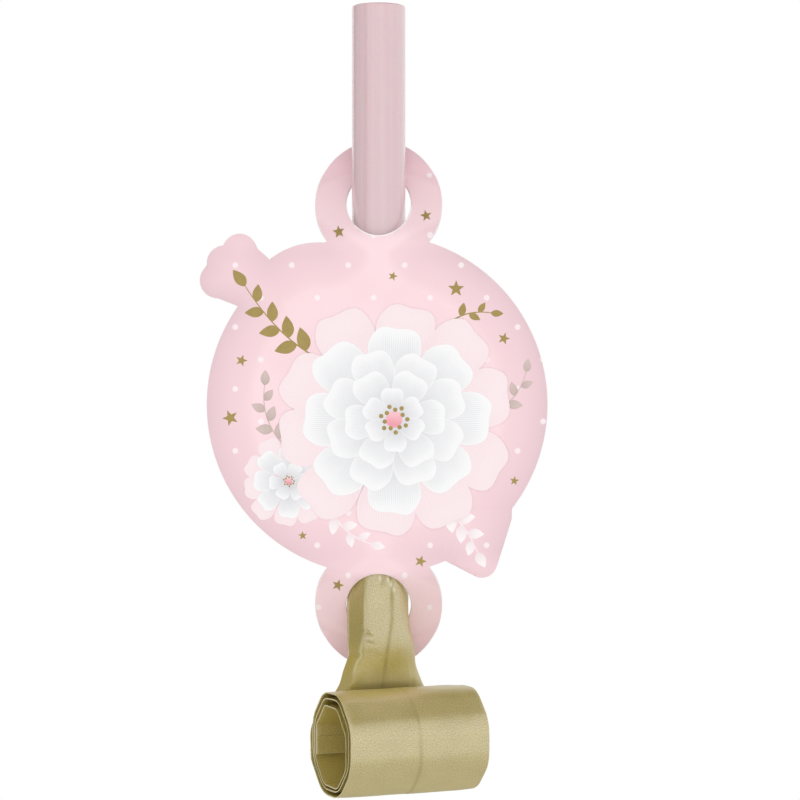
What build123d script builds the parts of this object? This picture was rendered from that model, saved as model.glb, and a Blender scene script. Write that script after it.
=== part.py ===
from build123d import *

import os
from math import cos, pi, radians, sin

# Sizes are in millimetres. The origin is the centre of the mouth end, +Z points out of the mouth, the
# tube hangs down along -Z, and the printed face of the medallion looks along -Y.

# Gaps left between pieces
PRESS_CLEARANCE = 0.03
CARD_CLEARANCE = 0.3
HOLE_CLEARANCE = 0.44
TONGUE_CLEARANCE = 0.1
WIRE_CLEARANCE = 0.05
CREASE_CLEARANCE = 0.06

# Mouthpiece tube, with a narrower bore at the mouth so that the reed cannot come out that way
TUBE_DIAMETER = 9.0
TUBE_LENGTH = 105.5
MOUTH_WALL = 0.9
MOUTH_BORE_DEPTH = 45.0
REED_WALL = 0.6
LIP_RADIUS = 0.3

# Reed: a plug with a tone board, a tongue clamped at one end and a wedge over it
REED_SETBACK = 12.0
PLUG_LENGTH = 8.0
BOARD_LENGTH = 20.0
BOARD_MARGIN = 0.8
BOARD_END_WALL = 3.0
CHANNEL_DIAMETER = 3.0
TONGUE_WIDTH = 4.0
TONGUE_THICKNESS = 0.2
TONGUE_REACH = 17.0
TONGUE_TAIL = 1.2
TONGUE_LIFT = 2.0
WEDGE_HEIGHT = 1.6
WEDGE_LENGTH = 3.0

# Medallion card, bent so that the tube passes through both of its rings
CARD_THICKNESS = 0.6
CARD_BEND_RADIUS = 2.0
TOP_RING_DROP = 33.4
RING_SPACING = 66.7
RING_BAND = 5.24
DISC_DIAMETER = 56.2
DISC_SHIFT = -0.3

# The card's tabs. Each point has a reach beyond the disc's edge and an angle round the disc.
LOBE_RADIUS = 3.0
UPPER_LOBE_REACH = 5.7
UPPER_LOBE_ANGLE = 132.1
MIDDLE_LOBE_REACH = 6.15
MIDDLE_LOBE_ANGLE = 137.2
LOWER_LOBE_REACH = 5.2
LOWER_LOBE_ANGLE = 142.1
TAB_TOP_REACH = 4.65
TAB_TOP_ANGLE = 127.6
TAB_TOP_ROOT_REACH = 1.9
TAB_TOP_ROOT_ANGLE = 126.6
TAB_BOTTOM_REACH = 3.75
TAB_BOTTOM_ANGLE = 146.5
TAB_BOTTOM_ROOT_DEPTH = 0.25
TAB_BOTTOM_ROOT_ANGLE = 144.7
SHOULDER_RADIUS = 12.9
SHOULDER_DEPTH = 11.2
SHOULDER_ANGLE = 125.0
CORNER_RADIUS = 2.65
CORNER_REACH = 6.95
CORNER_ANGLE = -57.4
CORNER_SIDE_REACH = 1.0
CORNER_SIDE_ANGLE = -40.2
CORNER_TOP_DEPTH = 0.15
CORNER_TOP_ANGLE = -37.4
CORNER_FOOT_ANGLE = -66.5
TAB_ROOT_DEPTH = 8.0

# Gold paper: a cuff on the tube, a neck that flattens, and a flat tube rolled up at eight creases a turn
PAPER_WALL = 0.1
CUFF_WALL = 0.45
CUFF_LENGTH = 16.0
STRIP_WIDTH = 25.0
STRIP_THICKNESS = 0.4
STRIP_YAW = 24.0
COIL_DROP = 16.3
COIL_INRADIUS = 8.55
LAYER_PITCH = 0.9
CREASES_PER_TURN = 8
LINK_COUNT = 24
NECK_STEPS = 12
NECK_FLAT_SHARE = 0.68
NECK_FLARE_POWER = 1.33
END_FOLD_LENGTH = 3.0
END_FOLD_THICKNESS = 0.2
END_FOLD_INSET = 0.3

# Recoil spring wire inside the paper
WIRE_DIAMETER = 0.14
WIRE_ANCHOR_LENGTH = 8.0
WIRE_TURN_RADIUS = 2.0
WIRE_FLAT_SHARE = 0.55

# Sizes that follow from those above
tube_radius = TUBE_DIAMETER / 2
reed_bore_radius = tube_radius - REED_WALL
tube_end = -TUBE_LENGTH
cuff_bore_radius = tube_radius + PRESS_CLEARANCE
cuff_radius = cuff_bore_radius + CUFF_WALL

plug_radius = reed_bore_radius - PRESS_CLEARANCE
plug_bottom = tube_end + REED_SETBACK
plug_top = plug_bottom + PLUG_LENGTH
board_radius = plug_radius - BOARD_MARGIN
clamp_gap = TONGUE_THICKNESS + 2 * TONGUE_CLEARANCE
slot_height = clamp_gap + WEDGE_HEIGHT + PRESS_CLEARANCE
slot_width = TONGUE_WIDTH + 2 * TONGUE_CLEARANCE
tongue_pivot = (0, -clamp_gap / 2, plug_top - TONGUE_TAIL)

ring_hole_radius = cuff_radius + HOLE_CLEARANCE
ring_radius = ring_hole_radius + RING_BAND
top_ring = -TOP_RING_DROP
low_ring = top_ring - RING_SPACING
disc_level = (top_ring + low_ring) / 2
disc_radius = DISC_DIAMETER / 2
card_reach = cuff_radius + CARD_CLEARANCE + CARD_THICKNESS
card_front = -(card_reach - CARD_THICKNESS / 2)
card_back_top = tube_radius + CARD_CLEARANCE + CARD_THICKNESS / 2
card_back_low = card_reach - CARD_THICKNESS / 2

# The strip is yawed about the tube. strip_side runs across it and strip_front points to the coil.
strip_side = Vector(cos(radians(STRIP_YAW)), sin(radians(STRIP_YAW)), 0)
strip_front = Vector(sin(radians(STRIP_YAW)), -cos(radians(STRIP_YAW)), 0)
strip_plane = Plane(origin=(0, 0, 0), x_dir=strip_front, z_dir=-strip_side)
coil_level = tube_end - COIL_DROP
coil_advance = STRIP_THICKNESS / 2 + COIL_INRADIUS
crease_angle = 2 * pi / CREASES_PER_TURN


# A point of the card at a reach beyond the disc's edge and an angle round the disc
def tab_point(reach, angle):
    radius = disc_radius + reach
    return (DISC_SHIFT + radius * cos(radians(angle)), disc_level + radius * sin(radians(angle)))


# The inner face of length k of the rolled paper lies this far from the coil's centre
def face_distance(k):
    return COIL_INRADIUS - LAYER_PITCH * k / CREASES_PER_TURN


# The crease between lengths k - 1 and k, on the inner face of the roll
def crease_point(k):
    before = face_distance(k - 1)
    along = (face_distance(k) - before * cos(crease_angle)) / sin(crease_angle)
    turn = crease_angle * (k - 1)
    advance = coil_advance - before * cos(turn) + along * sin(turn)
    level = coil_level - before * sin(turn) - along * cos(turn)
    return strip_front * advance + Vector(0, 0, level)


# The points of the two tabs, and the centres of the lobes and of the shoulder beside the upper tab
lobe_centres = [
    tab_point(UPPER_LOBE_REACH, UPPER_LOBE_ANGLE),
    tab_point(MIDDLE_LOBE_REACH, MIDDLE_LOBE_ANGLE),
    tab_point(LOWER_LOBE_REACH, LOWER_LOBE_ANGLE),
]
lobe_tab = [
    tab_point(TAB_TOP_REACH, TAB_TOP_ANGLE),
    tab_point(TAB_TOP_ROOT_REACH, TAB_TOP_ROOT_ANGLE),
    tab_point(-TAB_ROOT_DEPTH, MIDDLE_LOBE_ANGLE),
    tab_point(-TAB_BOTTOM_ROOT_DEPTH, TAB_BOTTOM_ROOT_ANGLE),
    tab_point(TAB_BOTTOM_REACH, TAB_BOTTOM_ANGLE),
]
shoulder_centre = tab_point(-SHOULDER_DEPTH, SHOULDER_ANGLE)
corner_tab_points = [
    tab_point(-CORNER_TOP_DEPTH, CORNER_TOP_ANGLE),
    tab_point(CORNER_SIDE_REACH, CORNER_SIDE_ANGLE),
    tab_point(CORNER_REACH, CORNER_ANGLE),
    tab_point(0, CORNER_FOOT_ANGLE),
    tab_point(-TAB_ROOT_DEPTH, CORNER_ANGLE),
]

creases = [crease_point(k) for k in range(1, LINK_COUNT + 2)]
neck_length = tube_end - creases[0].Z


# Level, half width, half thickness and wall of the neck at a share of its length
def neck_level(share):
    return tube_end - neck_length * share


def neck_half_width(share):
    return cuff_radius + (STRIP_WIDTH / 2 - cuff_radius) * share**NECK_FLARE_POWER


def neck_half_thickness(share):
    closing = min(share / NECK_FLAT_SHARE, 1)
    return STRIP_THICKNESS / 2 + (cuff_radius - STRIP_THICKNESS / 2) * (1 + cos(pi * closing)) / 2


def neck_wall(share):
    closing = min(share / NECK_FLAT_SHARE, 1)
    return CUFF_WALL + (PAPER_WALL - CUFF_WALL) * closing


neck_shares = [step / NECK_STEPS for step in range(NECK_STEPS + 1)]

os.makedirs("parts", exist_ok=True)

# Mouthpiece tube
with BuildPart() as mouthpiece_tube:
    with BuildSketch(Plane.XY.offset(tube_end)):
        Circle(tube_radius)
    extrude(amount=TUBE_LENGTH)
    with BuildSketch(Plane.XY.offset(-MOUTH_BORE_DEPTH)):
        Circle(tube_radius - MOUTH_WALL)
    extrude(amount=MOUTH_BORE_DEPTH, mode=Mode.SUBTRACT)
    with BuildSketch(Plane.XY.offset(tube_end)):
        Circle(reed_bore_radius)
    extrude(amount=TUBE_LENGTH - MOUTH_BORE_DEPTH, mode=Mode.SUBTRACT)
    fillet(mouthpiece_tube.edges().group_by(Axis.Z)[-1].sort_by(SortBy.RADIUS)[-1], LIP_RADIUS)
mouthpiece_tube.part.label = "mouthpiece_tube"
export_step(mouthpiece_tube.part, "parts/mouthpiece_tube.step")

# Reed body: the half-round tone board stands on the plug, and the air channel runs down through both
with BuildPart() as reed_body:
    with BuildSketch(Plane.XY.offset(plug_bottom)):
        Circle(plug_radius)
    extrude(amount=PLUG_LENGTH)
    with BuildSketch(Plane.XY.offset(plug_top)):
        Circle(board_radius)
        with Locations((0, -board_radius)):
            Rectangle(2 * board_radius, 2 * board_radius, mode=Mode.SUBTRACT)
    extrude(amount=BOARD_LENGTH)
    with BuildSketch(Plane.XY.offset(plug_bottom)):
        Circle(CHANNEL_DIAMETER / 2)
    extrude(amount=PLUG_LENGTH + BOARD_LENGTH - BOARD_END_WALL, mode=Mode.SUBTRACT)
    with BuildSketch(Plane.XY.offset(plug_top - WEDGE_LENGTH)):
        with Locations((0, -slot_height / 2)):
            Rectangle(slot_width, slot_height)
    extrude(amount=WEDGE_LENGTH, mode=Mode.SUBTRACT)
reed_body.part.label = "reed_body"
export_step(reed_body.part, "parts/reed_body.step")

# Reed tongue, lifted off the tone board by its own set
with BuildPart() as reed_tongue:
    with BuildSketch(Plane(Location(tongue_pivot, (TONGUE_LIFT, 0, 0)))):
        Rectangle(TONGUE_WIDTH, TONGUE_THICKNESS)
    extrude(amount=TONGUE_REACH)
    with BuildSketch(Plane(Location(tongue_pivot, (TONGUE_LIFT, 0, 0)))):
        Rectangle(TONGUE_WIDTH, TONGUE_THICKNESS)
    extrude(amount=-TONGUE_TAIL)
reed_tongue.part.label = "reed_tongue"
export_step(reed_tongue.part, "parts/reed_tongue.step")

# Reed wedge, pressed into the plug's slot over the tongue
with BuildPart() as reed_wedge:
    with BuildSketch(Plane.XY.offset(plug_top - WEDGE_LENGTH)):
        with Locations((0, -clamp_gap - WEDGE_HEIGHT / 2)):
            Rectangle(slot_width - 2 * PRESS_CLEARANCE, WEDGE_HEIGHT)
    extrude(amount=WEDGE_LENGTH)
reed_wedge.part.label = "reed_wedge"
export_step(reed_wedge.part, "parts/reed_wedge.step")

# Medallion card: the die-cut outline, then the bend that takes the disc in front of the tube and the
# outer half of each ring behind it
with BuildPart() as medallion_card:
    with BuildSketch(Plane.XZ):
        with Locations((DISC_SHIFT, disc_level)):
            Circle(disc_radius)
        with Locations(shoulder_centre):
            Circle(SHOULDER_RADIUS)
        with Locations((0, top_ring), (0, low_ring)):
            Circle(ring_radius)
        with BuildLine():
            Polyline(*lobe_tab, close=True)
        make_face()
        with Locations(*lobe_centres):
            Circle(LOBE_RADIUS)
        with BuildSketch(Plane.XY, mode=Mode.PRIVATE) as corner_tab:
            with BuildLine():
                Polyline(*corner_tab_points, close=True)
            make_face()
            fillet(corner_tab.vertices().sort_by(Axis.Y)[0], CORNER_RADIUS)
        add(corner_tab.sketch)
        with Locations((0, top_ring), (0, low_ring)):
            Circle(ring_hole_radius, mode=Mode.SUBTRACT)
    extrude(amount=card_reach + CARD_THICKNESS, both=True)
    with BuildSketch(Plane.YZ):
        with BuildLine() as bend:
            FilletPolyline(
                (card_back_top, top_ring + ring_radius + CARD_THICKNESS),
                (card_back_top, top_ring + ring_hole_radius),
                (card_front, top_ring - ring_hole_radius),
                (card_front, low_ring + ring_hole_radius),
                (card_back_low, low_ring - ring_hole_radius),
                (card_back_low, low_ring - ring_radius - CARD_THICKNESS),
                radius=CARD_BEND_RADIUS,
            )
            offset(amount=CARD_THICKNESS / 2, side=Side.BOTH)
        make_face()
    extrude(amount=DISC_DIAMETER, both=True, mode=Mode.INTERSECT)
medallion_card.part.label = "medallion_card"
export_step(medallion_card.part, "parts/medallion_card.step")

# Paper neck: a glued cuff on the tube, then a hollow flare from round to flat
with BuildPart() as paper_neck:
    with BuildSketch(Plane.XY.offset(tube_end)):
        Circle(cuff_radius)
        Circle(cuff_bore_radius, mode=Mode.SUBTRACT)
    extrude(amount=CUFF_LENGTH)
    for share in neck_shares:
        with BuildSketch(Plane(origin=(0, 0, neck_level(share)), x_dir=strip_side, z_dir=(0, 0, 1))):
            Ellipse(neck_half_width(share), neck_half_thickness(share))
    loft(ruled=True)
    for share in neck_shares:
        with BuildSketch(Plane(origin=(0, 0, neck_level(share)), x_dir=strip_side, z_dir=(0, 0, 1))):
            wall = neck_wall(share)
            Ellipse(neck_half_width(share) - wall, neck_half_thickness(share) - wall)
    loft(ruled=True, mode=Mode.SUBTRACT)
paper_neck.part.label = "paper_neck"
export_step(paper_neck.part, "parts/paper_neck.step")

# Spring anchor: the wire's first stretch, from the tube's bore down through the neck to the first crease
wire_radius = WIRE_DIAMETER / 2
anchor_advance = reed_bore_radius - WIRE_CLEARANCE - wire_radius
with BuildPart() as spring_anchor:
    with BuildLine(strip_plane) as wire_path:
        FilletPolyline(
            (anchor_advance, tube_end + WIRE_ANCHOR_LENGTH),
            (anchor_advance, tube_end + WIRE_TURN_RADIUS),
            (0, neck_level(WIRE_FLAT_SHARE)),
            (0, creases[0].Z + CREASE_CLEARANCE),
            radius=WIRE_TURN_RADIUS,
        )
    with BuildSketch(Plane(wire_path.line @ 0, z_dir=wire_path.line % 0)):
        Circle(wire_radius)
    sweep()
spring_anchor.part.label = "spring_anchor"
export_step(spring_anchor.part, "parts/spring_anchor.step")

# The rolled paper, length by length: a flat paper tube and the spring wire inside it. Each length bends
# at the crease on its inner face, so that the lengths lie end to end when the paper is blown straight.
paper_links = []
for number in range(1, LINK_COUNT + 1):
    reach = creases[number] - creases[number - 1]
    along = reach.normalized()
    start = creases[number - 1] + along * CREASE_CLEARANCE
    span = reach.length - 2 * CREASE_CLEARANCE
    link_plane = Plane(origin=start, x_dir=strip_side, z_dir=along)

    with BuildPart() as paper_link:
        with BuildSketch(link_plane):
            with Locations((0, -STRIP_THICKNESS / 2)):
                Rectangle(STRIP_WIDTH, STRIP_THICKNESS)
                hollow_height = STRIP_THICKNESS - 2 * PAPER_WALL
                Rectangle(STRIP_WIDTH - 2 * PAPER_WALL, hollow_height, mode=Mode.SUBTRACT)
        extrude(amount=span)
    paper_link.part.label = f"paper_link_{number:02d}"
    export_step(paper_link.part, f"parts/paper_link_{number:02d}.step")
    paper_links.append(paper_link.part)

    with BuildPart() as spring_link:
        with BuildSketch(link_plane):
            with Locations((0, -STRIP_THICKNESS / 2)):
                Circle(wire_radius)
        extrude(amount=span)
    spring_link.part.label = f"spring_link_{number:02d}"
    export_step(spring_link.part, f"parts/spring_link_{number:02d}.step")

turns = zip(paper_links, paper_links[CREASES_PER_TURN:])
print(f"least gap between turns {min(outer.distance_to(inner) for outer, inner in turns):.2f} mm")

# End fold: the last of the paper turned over and glued down on the inner face of the last length
with BuildPart() as end_fold:
    with BuildSketch(link_plane.offset(span - END_FOLD_INSET - END_FOLD_LENGTH)):
        with Locations((0, END_FOLD_THICKNESS / 2)):
            Rectangle(STRIP_WIDTH - 2 * END_FOLD_INSET, END_FOLD_THICKNESS)
    extrude(amount=END_FOLD_LENGTH)
end_fold.part.label = "end_fold"
export_step(end_fold.part, "parts/end_fold.step")
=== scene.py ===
from collections import Counter
from math import atan2, cos, exp, hypot, pi, prod, radians, sin, sqrt, tan

import bpy
from mathutils import Color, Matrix, Vector, kdtree, noise
from mathutils.geometry import delaunay_2d_cdt


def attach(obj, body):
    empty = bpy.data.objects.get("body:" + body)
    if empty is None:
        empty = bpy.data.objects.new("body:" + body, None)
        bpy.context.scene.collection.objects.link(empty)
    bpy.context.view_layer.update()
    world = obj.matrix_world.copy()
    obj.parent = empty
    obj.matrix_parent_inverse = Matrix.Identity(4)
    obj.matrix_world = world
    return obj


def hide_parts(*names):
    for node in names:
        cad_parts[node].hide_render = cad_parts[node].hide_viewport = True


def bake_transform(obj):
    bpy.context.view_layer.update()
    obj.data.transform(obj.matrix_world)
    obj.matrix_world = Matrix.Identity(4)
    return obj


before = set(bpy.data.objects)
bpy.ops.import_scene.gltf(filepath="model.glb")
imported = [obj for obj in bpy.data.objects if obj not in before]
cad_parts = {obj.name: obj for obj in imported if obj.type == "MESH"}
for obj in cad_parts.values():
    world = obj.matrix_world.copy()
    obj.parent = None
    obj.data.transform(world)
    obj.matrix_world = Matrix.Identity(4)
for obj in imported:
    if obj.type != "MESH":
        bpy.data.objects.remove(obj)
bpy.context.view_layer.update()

# Sizes are in millimetres, in the frame of the CAD: X to the right, Y away from the viewer, Z up.
MM = 0.001
UP = Vector((0, 0, 1))

# Tube and the paper cuff round it
TUBE_RADIUS = 4.5
TUBE_END = -105.5
CUFF_RADIUS = 4.98
CUFF_LENGTH = 16.0

# Card
CARD_THICKNESS = 0.6
CARD_CLEARANCE = 0.3
DISC_RADIUS = 28.2
DISC_SHIFT = -0.2
TOP_RING_LEVEL = -33.4
LOW_RING_LEVEL = -100.1
RING_LEVELS = (TOP_RING_LEVEL, LOW_RING_LEVEL)
DISC_LEVEL = sum(RING_LEVELS) / 2
RING_HOLE_RADIUS = 5.42
RING_RADIUS = 10.66

# Gold paper strip
STRIP_WIDTH = 24.6
STRIP_THICKNESS = 0.4
STRIP_YAW = radians(24)
strip_side = Vector((cos(STRIP_YAW), sin(STRIP_YAW), 0))
strip_front = Vector((sin(STRIP_YAW), -cos(STRIP_YAW), 0))


# Node trees of materials and of the world

WHITE = (1.0, 1.0, 1.0, 1.0)
# Most of a soft noise lies between these levels
NOISE_SPAN = (0.3, 0.7)


def paint(red, green, blue):
    """A colour written as it looks on a screen, 0 to 255, as the linear colour that shaders take."""
    return (*Color((red / 255, green / 255, blue / 255)).from_srgb_to_scene_linear(), 1.0)


class Nodes:
    """The node tree of a material or of the world."""

    def __init__(self, owner):
        owner.use_nodes = True
        self.tree = owner.node_tree

    def feed(self, socket, value):
        """Links a socket to another node's output, or sets its value."""
        if isinstance(value, bpy.types.NodeSocket):
            self.tree.links.new(value, socket)
        else:
            socket.default_value = value

    def add(self, kind, inputs, **settings):
        """A node whose settings and inputs are given by name or number."""
        node = self.tree.nodes.new("ShaderNode" + kind)
        for key, value in settings.items():
            setattr(node, key, value)
        for key, value in inputs.items():
            self.feed(node.inputs[key], value)
        return node

    def reckon(self, operation, first, second):
        return self.add("Math", {0: first, 1: second}, operation=operation).outputs["Value"]

    def show(self, shader, output):
        """Makes a shader the one that the tree ends in."""
        self.feed(self.tree.nodes[output].inputs["Surface"], shader.outputs[0])

    def show_white(self, kind, otherwise, output):
        """Plain white to the camera, in reflections and through clear pieces; another shader otherwise."""
        path = self.add("LightPath", {}).outputs
        seen = self.reckon("MAXIMUM", path["Is Camera Ray"], path["Is Glossy Ray"])
        seen = self.reckon("MAXIMUM", seen, path["Is Transmission Ray"])
        white = self.add(kind, {"Color": WHITE, "Strength": 1.0})
        joined = self.add("MixShader", {0: seen, 1: otherwise.outputs[0], 2: white.outputs[0]})
        self.show(joined, output)


class Surface(Nodes):
    """A material with one principled shader. The settings are values of that shader's own sockets."""

    def __init__(self, name, **settings):
        self.material = bpy.data.materials.new(name)
        super().__init__(self.material)
        self.shader = self.tree.nodes["Principled BSDF"]
        for socket, value in settings.items():
            self.shader.inputs[socket.replace("_", " ")].default_value = value

    def place(self, kind="Object"):
        return self.add("TexCoord", {}).outputs[kind]

    def stretched(self, place, scale):
        return self.add("Mapping", {"Vector": place, "Scale": scale}).outputs["Vector"]

    def attribute(self, name, kind="Fac"):
        return self.add("Attribute", {}, attribute_name=name).outputs[kind]

    def vector(self, operation, first, second=(0, 0, 0)):
        return self.add("VectorMath", {0: first, 1: second}, operation=operation).outputs[0]

    def speckle(self, place, scale, detail=3.0, roughness=0.55):
        """Soft noise from 0 to 1."""
        inputs = {"Vector": place, "Scale": scale, "Detail": detail, "Roughness": roughness}
        return self.add("TexNoise", inputs).outputs["Fac"]

    def between(self, value, low, high, to_low=0.0, to_high=1.0):
        """Maps a value from one range to another, held at both ends."""
        inputs = {"Value": value, "From Min": low, "From Max": high, "To Min": to_low, "To Max": to_high}
        return self.add("MapRange", inputs).outputs["Result"]

    def spread(self, pattern, to_low, to_high):
        """Soft noise spread over a range of values."""
        return self.between(pattern, *NOISE_SPAN, to_low, to_high)

    def mixed(self, share, first, second):
        """One colour changing into another as share goes from 0 to 1."""
        return self.add("Mix", {0: share, 6: first, 7: second}, data_type="RGBA").outputs[2]

    def dusted(self, base, colour, pattern, low, high, most):
        """Another colour over a base as a pattern goes from low to high, up to that share."""
        return self.mixed(self.between(pattern, low, high, to_high=most), base, colour)

    def ramp(self, share, stops):
        """A colour from a row of stops, each a share and its colour."""
        node = self.add("ValToRGB", {"Fac": share})
        elements = node.color_ramp.elements
        while len(elements) < len(stops):
            elements.new(1.0)
        for element, (position, colour) in zip(elements, stops):
            element.position = position
            element.color = colour
        return node.outputs["Color"]

    def tinted(self, pattern, dark, light, span=NOISE_SPAN):
        """A colour that goes from dark to light with a pattern."""
        return self.ramp(pattern, list(zip(span, (dark, light))))

    def finished(self, colour, roughness, height, depth):
        """The material with its colour, its roughness and a relief of that depth in millimetres."""
        bump = self.add("Bump", {"Height": height, "Distance": depth * MM})
        self.feed(self.shader.inputs["Base Color"], colour)
        self.feed(self.shader.inputs["Roughness"], roughness)
        self.feed(self.shader.inputs["Normal"], bump.outputs["Normal"])
        return self.material


# Materials of the tube, the reed and the wire


def pink_plastic():
    """Extruded pink plastic: lengthwise die lines, a little light let through, fine scuffs."""
    skin = Surface(
        "pink_plastic", Subsurface_Weight=0.18, Subsurface_Scale=0.002, IOR=1.5,
        Coat_Weight=1.0, Coat_Roughness=0.03, Coat_IOR=1.6,
    )
    place = skin.place()
    die_lines = skin.speckle(skin.stretched(place, (1, 1, 0.01)), scale=900, detail=4.0)
    clouds = skin.speckle(skin.stretched(place, (1, 1, 0.25)), scale=160)
    scuffs = skin.speckle(place, scale=2600, detail=5.0)
    base = skin.tinted(die_lines, paint(216, 184, 189), paint(222, 195, 198))
    colour = skin.dusted(base, paint(219, 199, 201), clouds, low=0.4, high=0.7, most=0.35)
    scuff_share = 0.3
    height = skin.reckon("ADD", die_lines, skin.reckon("MULTIPLY", scuffs, scuff_share))
    return skin.finished(colour, skin.spread(scuffs, 0.26, 0.38), height, depth=0.03)


def reed_plastic():
    """Moulded white polystyrene of the squeaker."""
    skin = Surface("reed_plastic", IOR=1.59)
    place = skin.place()
    flow = skin.speckle(skin.stretched(place, (1, 1, 0.2)), scale=700)
    pits = skin.speckle(place, scale=4000)
    colour = skin.tinted(flow, paint(226, 224, 220), paint(238, 237, 233))
    return skin.finished(colour, skin.spread(pits, 0.32, 0.46), pits, depth=0.01)


def reed_film():
    """Clear amber film of the reed tongue."""
    skin = Surface("reed_film", IOR=1.5, Transmission_Weight=0.4)
    haze = skin.speckle(skin.place(), scale=1800)
    colour = skin.tinted(haze, paint(224, 214, 186), paint(236, 229, 206))
    return skin.finished(colour, skin.spread(haze, 0.12, 0.25), haze, depth=0.005)


def spring_wire():
    """Drawn steel wire with fine drag marks."""
    skin = Surface("spring_wire", Metallic=1.0)
    marks = skin.speckle(skin.place(), scale=6000, detail=5.0)
    colour = skin.tinted(marks, paint(168, 166, 162), paint(205, 203, 199))
    return skin.finished(colour, skin.spread(marks, 0.25, 0.42), marks, depth=0.004)


# Materials of the printed card

VIGNETTE_DEPTH = 8.0
# Pinks from the card's edge inwards: share of that depth, colour
PINKS = (
    (0.0, paint(226, 196, 203)),
    (0.12, paint(231, 200, 207)),
    (0.45, paint(240, 208, 214)),
    (0.8, paint(245, 213, 218)),
    (1.0, paint(251, 221, 226)),
)
DOT_PITCH = 9.33
DOT_RISE = 10.23
DOT_STAGGER = (5.11, 5.38)
DOT_PLACE = (-0.76, -90.02)
DOT_RADIUS = 0.47
DOT_BLUR = 0.1


def dots_from(skin, place, shift_x, shift_z):
    """Distance in metres to the nearest dot of one rectangular lattice."""
    cell = Vector((DOT_PITCH, 1.0, DOT_RISE)) * MM
    start = Vector((DOT_PLACE[0] + shift_x, 0.0, DOT_PLACE[1] + shift_z)) * MM - cell / 2
    cells = skin.vector("DIVIDE", skin.vector("SUBTRACT", place, start), cell)
    centred = skin.vector("SUBTRACT", skin.vector("FRACTION", cells), (0.5, 0.5, 0.5))
    flat = skin.vector("MULTIPLY", centred, (cell.x, 0.0, cell.z))
    return skin.add("VectorMath", {0: flat}, operation="LENGTH").outputs["Value"]


def printed_front():
    """Pink print on coated card, paler in the middle, painted paler as painted light where the card slopes
    back, and with staggered white dots.
    """
    skin = Surface("printed_front", IOR=1.45)
    place = skin.place()
    # Vignette by the distance from the card's outer edge, to which painted light on the bends is added
    vignette = skin.ramp(skin.between(skin.attribute("edge_distance"), 0.0, VIGNETTE_DEPTH), PINKS)
    clouds = skin.speckle(place, scale=90, detail=2.0)
    pink = skin.dusted(vignette, paint(241, 207, 213), clouds, low=0.35, high=0.65, most=0.3)
    sheet = skin.attribute("print_place", "Vector")
    lattices = [dots_from(skin, sheet, *shift) for shift in ((0.0, 0.0), DOT_STAGGER)]
    nearest = skin.reckon("MINIMUM", *lattices)
    outside, inside = (DOT_RADIUS + DOT_BLUR) * MM, (DOT_RADIUS - DOT_BLUR) * MM
    colour = skin.dusted(pink, paint(254, 246, 247), nearest, outside, inside, most=0.7)
    fibres = skin.speckle(place, scale=3500, detail=4.0)
    return skin.finished(colour, skin.spread(fibres, 0.42, 0.56), fibres, depth=0.012)


def card_board(name, dark, light):
    """Uncoated board with fibres and flecks."""
    skin = Surface(name, IOR=1.4)
    place = skin.place()
    fibres = skin.speckle(place, scale=1500, detail=6.0, roughness=0.7)
    flecks = skin.speckle(skin.stretched(place, (1, 1, 0.3)), scale=2600, detail=2.0)
    board = skin.tinted(fibres, dark, light, span=(0.32, 0.68))
    colour = skin.dusted(board, paint(196, 188, 182), flecks, low=0.66, high=0.74, most=0.45)
    return skin.finished(colour, skin.spread(fibres, 0.75, 0.9), fibres, depth=0.02)


def gold_ink():
    """Matt metallic gold ink, slightly mottled."""
    skin = Surface("gold_ink", Metallic=0.1)
    grain = skin.speckle(skin.place(), scale=3000, detail=4.0)
    clouds = skin.speckle(skin.place(), scale=500)
    base = skin.tinted(clouds, paint(160, 137, 74), paint(170, 148, 84))
    colour = skin.dusted(base, paint(188, 169, 108), grain, low=0.45, high=0.75, most=0.35)
    return skin.finished(colour, skin.spread(grain, 0.42, 0.58), grain, depth=0.008)


def petal_ink(name, light, shade, veins):
    """Opaque printed petal: shaded at its foot, with fine veins and a clean pale rim."""
    skin = Surface(name, IOR=1.45)
    place = skin.place()
    along, across, rim = (skin.attribute(mark) for mark in ("along", "across", "rim"))
    wobble = skin.speckle(place, scale=420)
    foot = skin.between(along, low=0.85, high=0.2)
    shaded = skin.mixed(skin.reckon("MULTIPLY", foot, skin.spread(wobble, 0.6, 1.0)), light, shade)
    vein_slant = 0.12
    vein_place = skin.add("CombineXYZ", {0: across, 1: skin.reckon("MULTIPLY", along, vein_slant)})
    waves = {"Vector": vein_place.outputs[0], "Scale": 5.5, "Distortion": 2.2, "Detail": 2.0}
    lines = skin.between(skin.add("TexWave", waves).outputs["Fac"], low=0.55, high=1.0, to_high=0.7)
    inside_rim = skin.between(rim, low=0.97, high=0.6)
    veined = skin.mixed(skin.reckon("MULTIPLY", lines, inside_rim), shaded, veins)
    edged = skin.dusted(veined, light, rim, low=0.93, high=1.0, most=0.85)
    fibres = skin.speckle(place, scale=3500, detail=4.0)
    return skin.finished(edged, skin.spread(fibres, 0.45, 0.6), fibres, depth=0.012)


# Material of the gold paper


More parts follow.
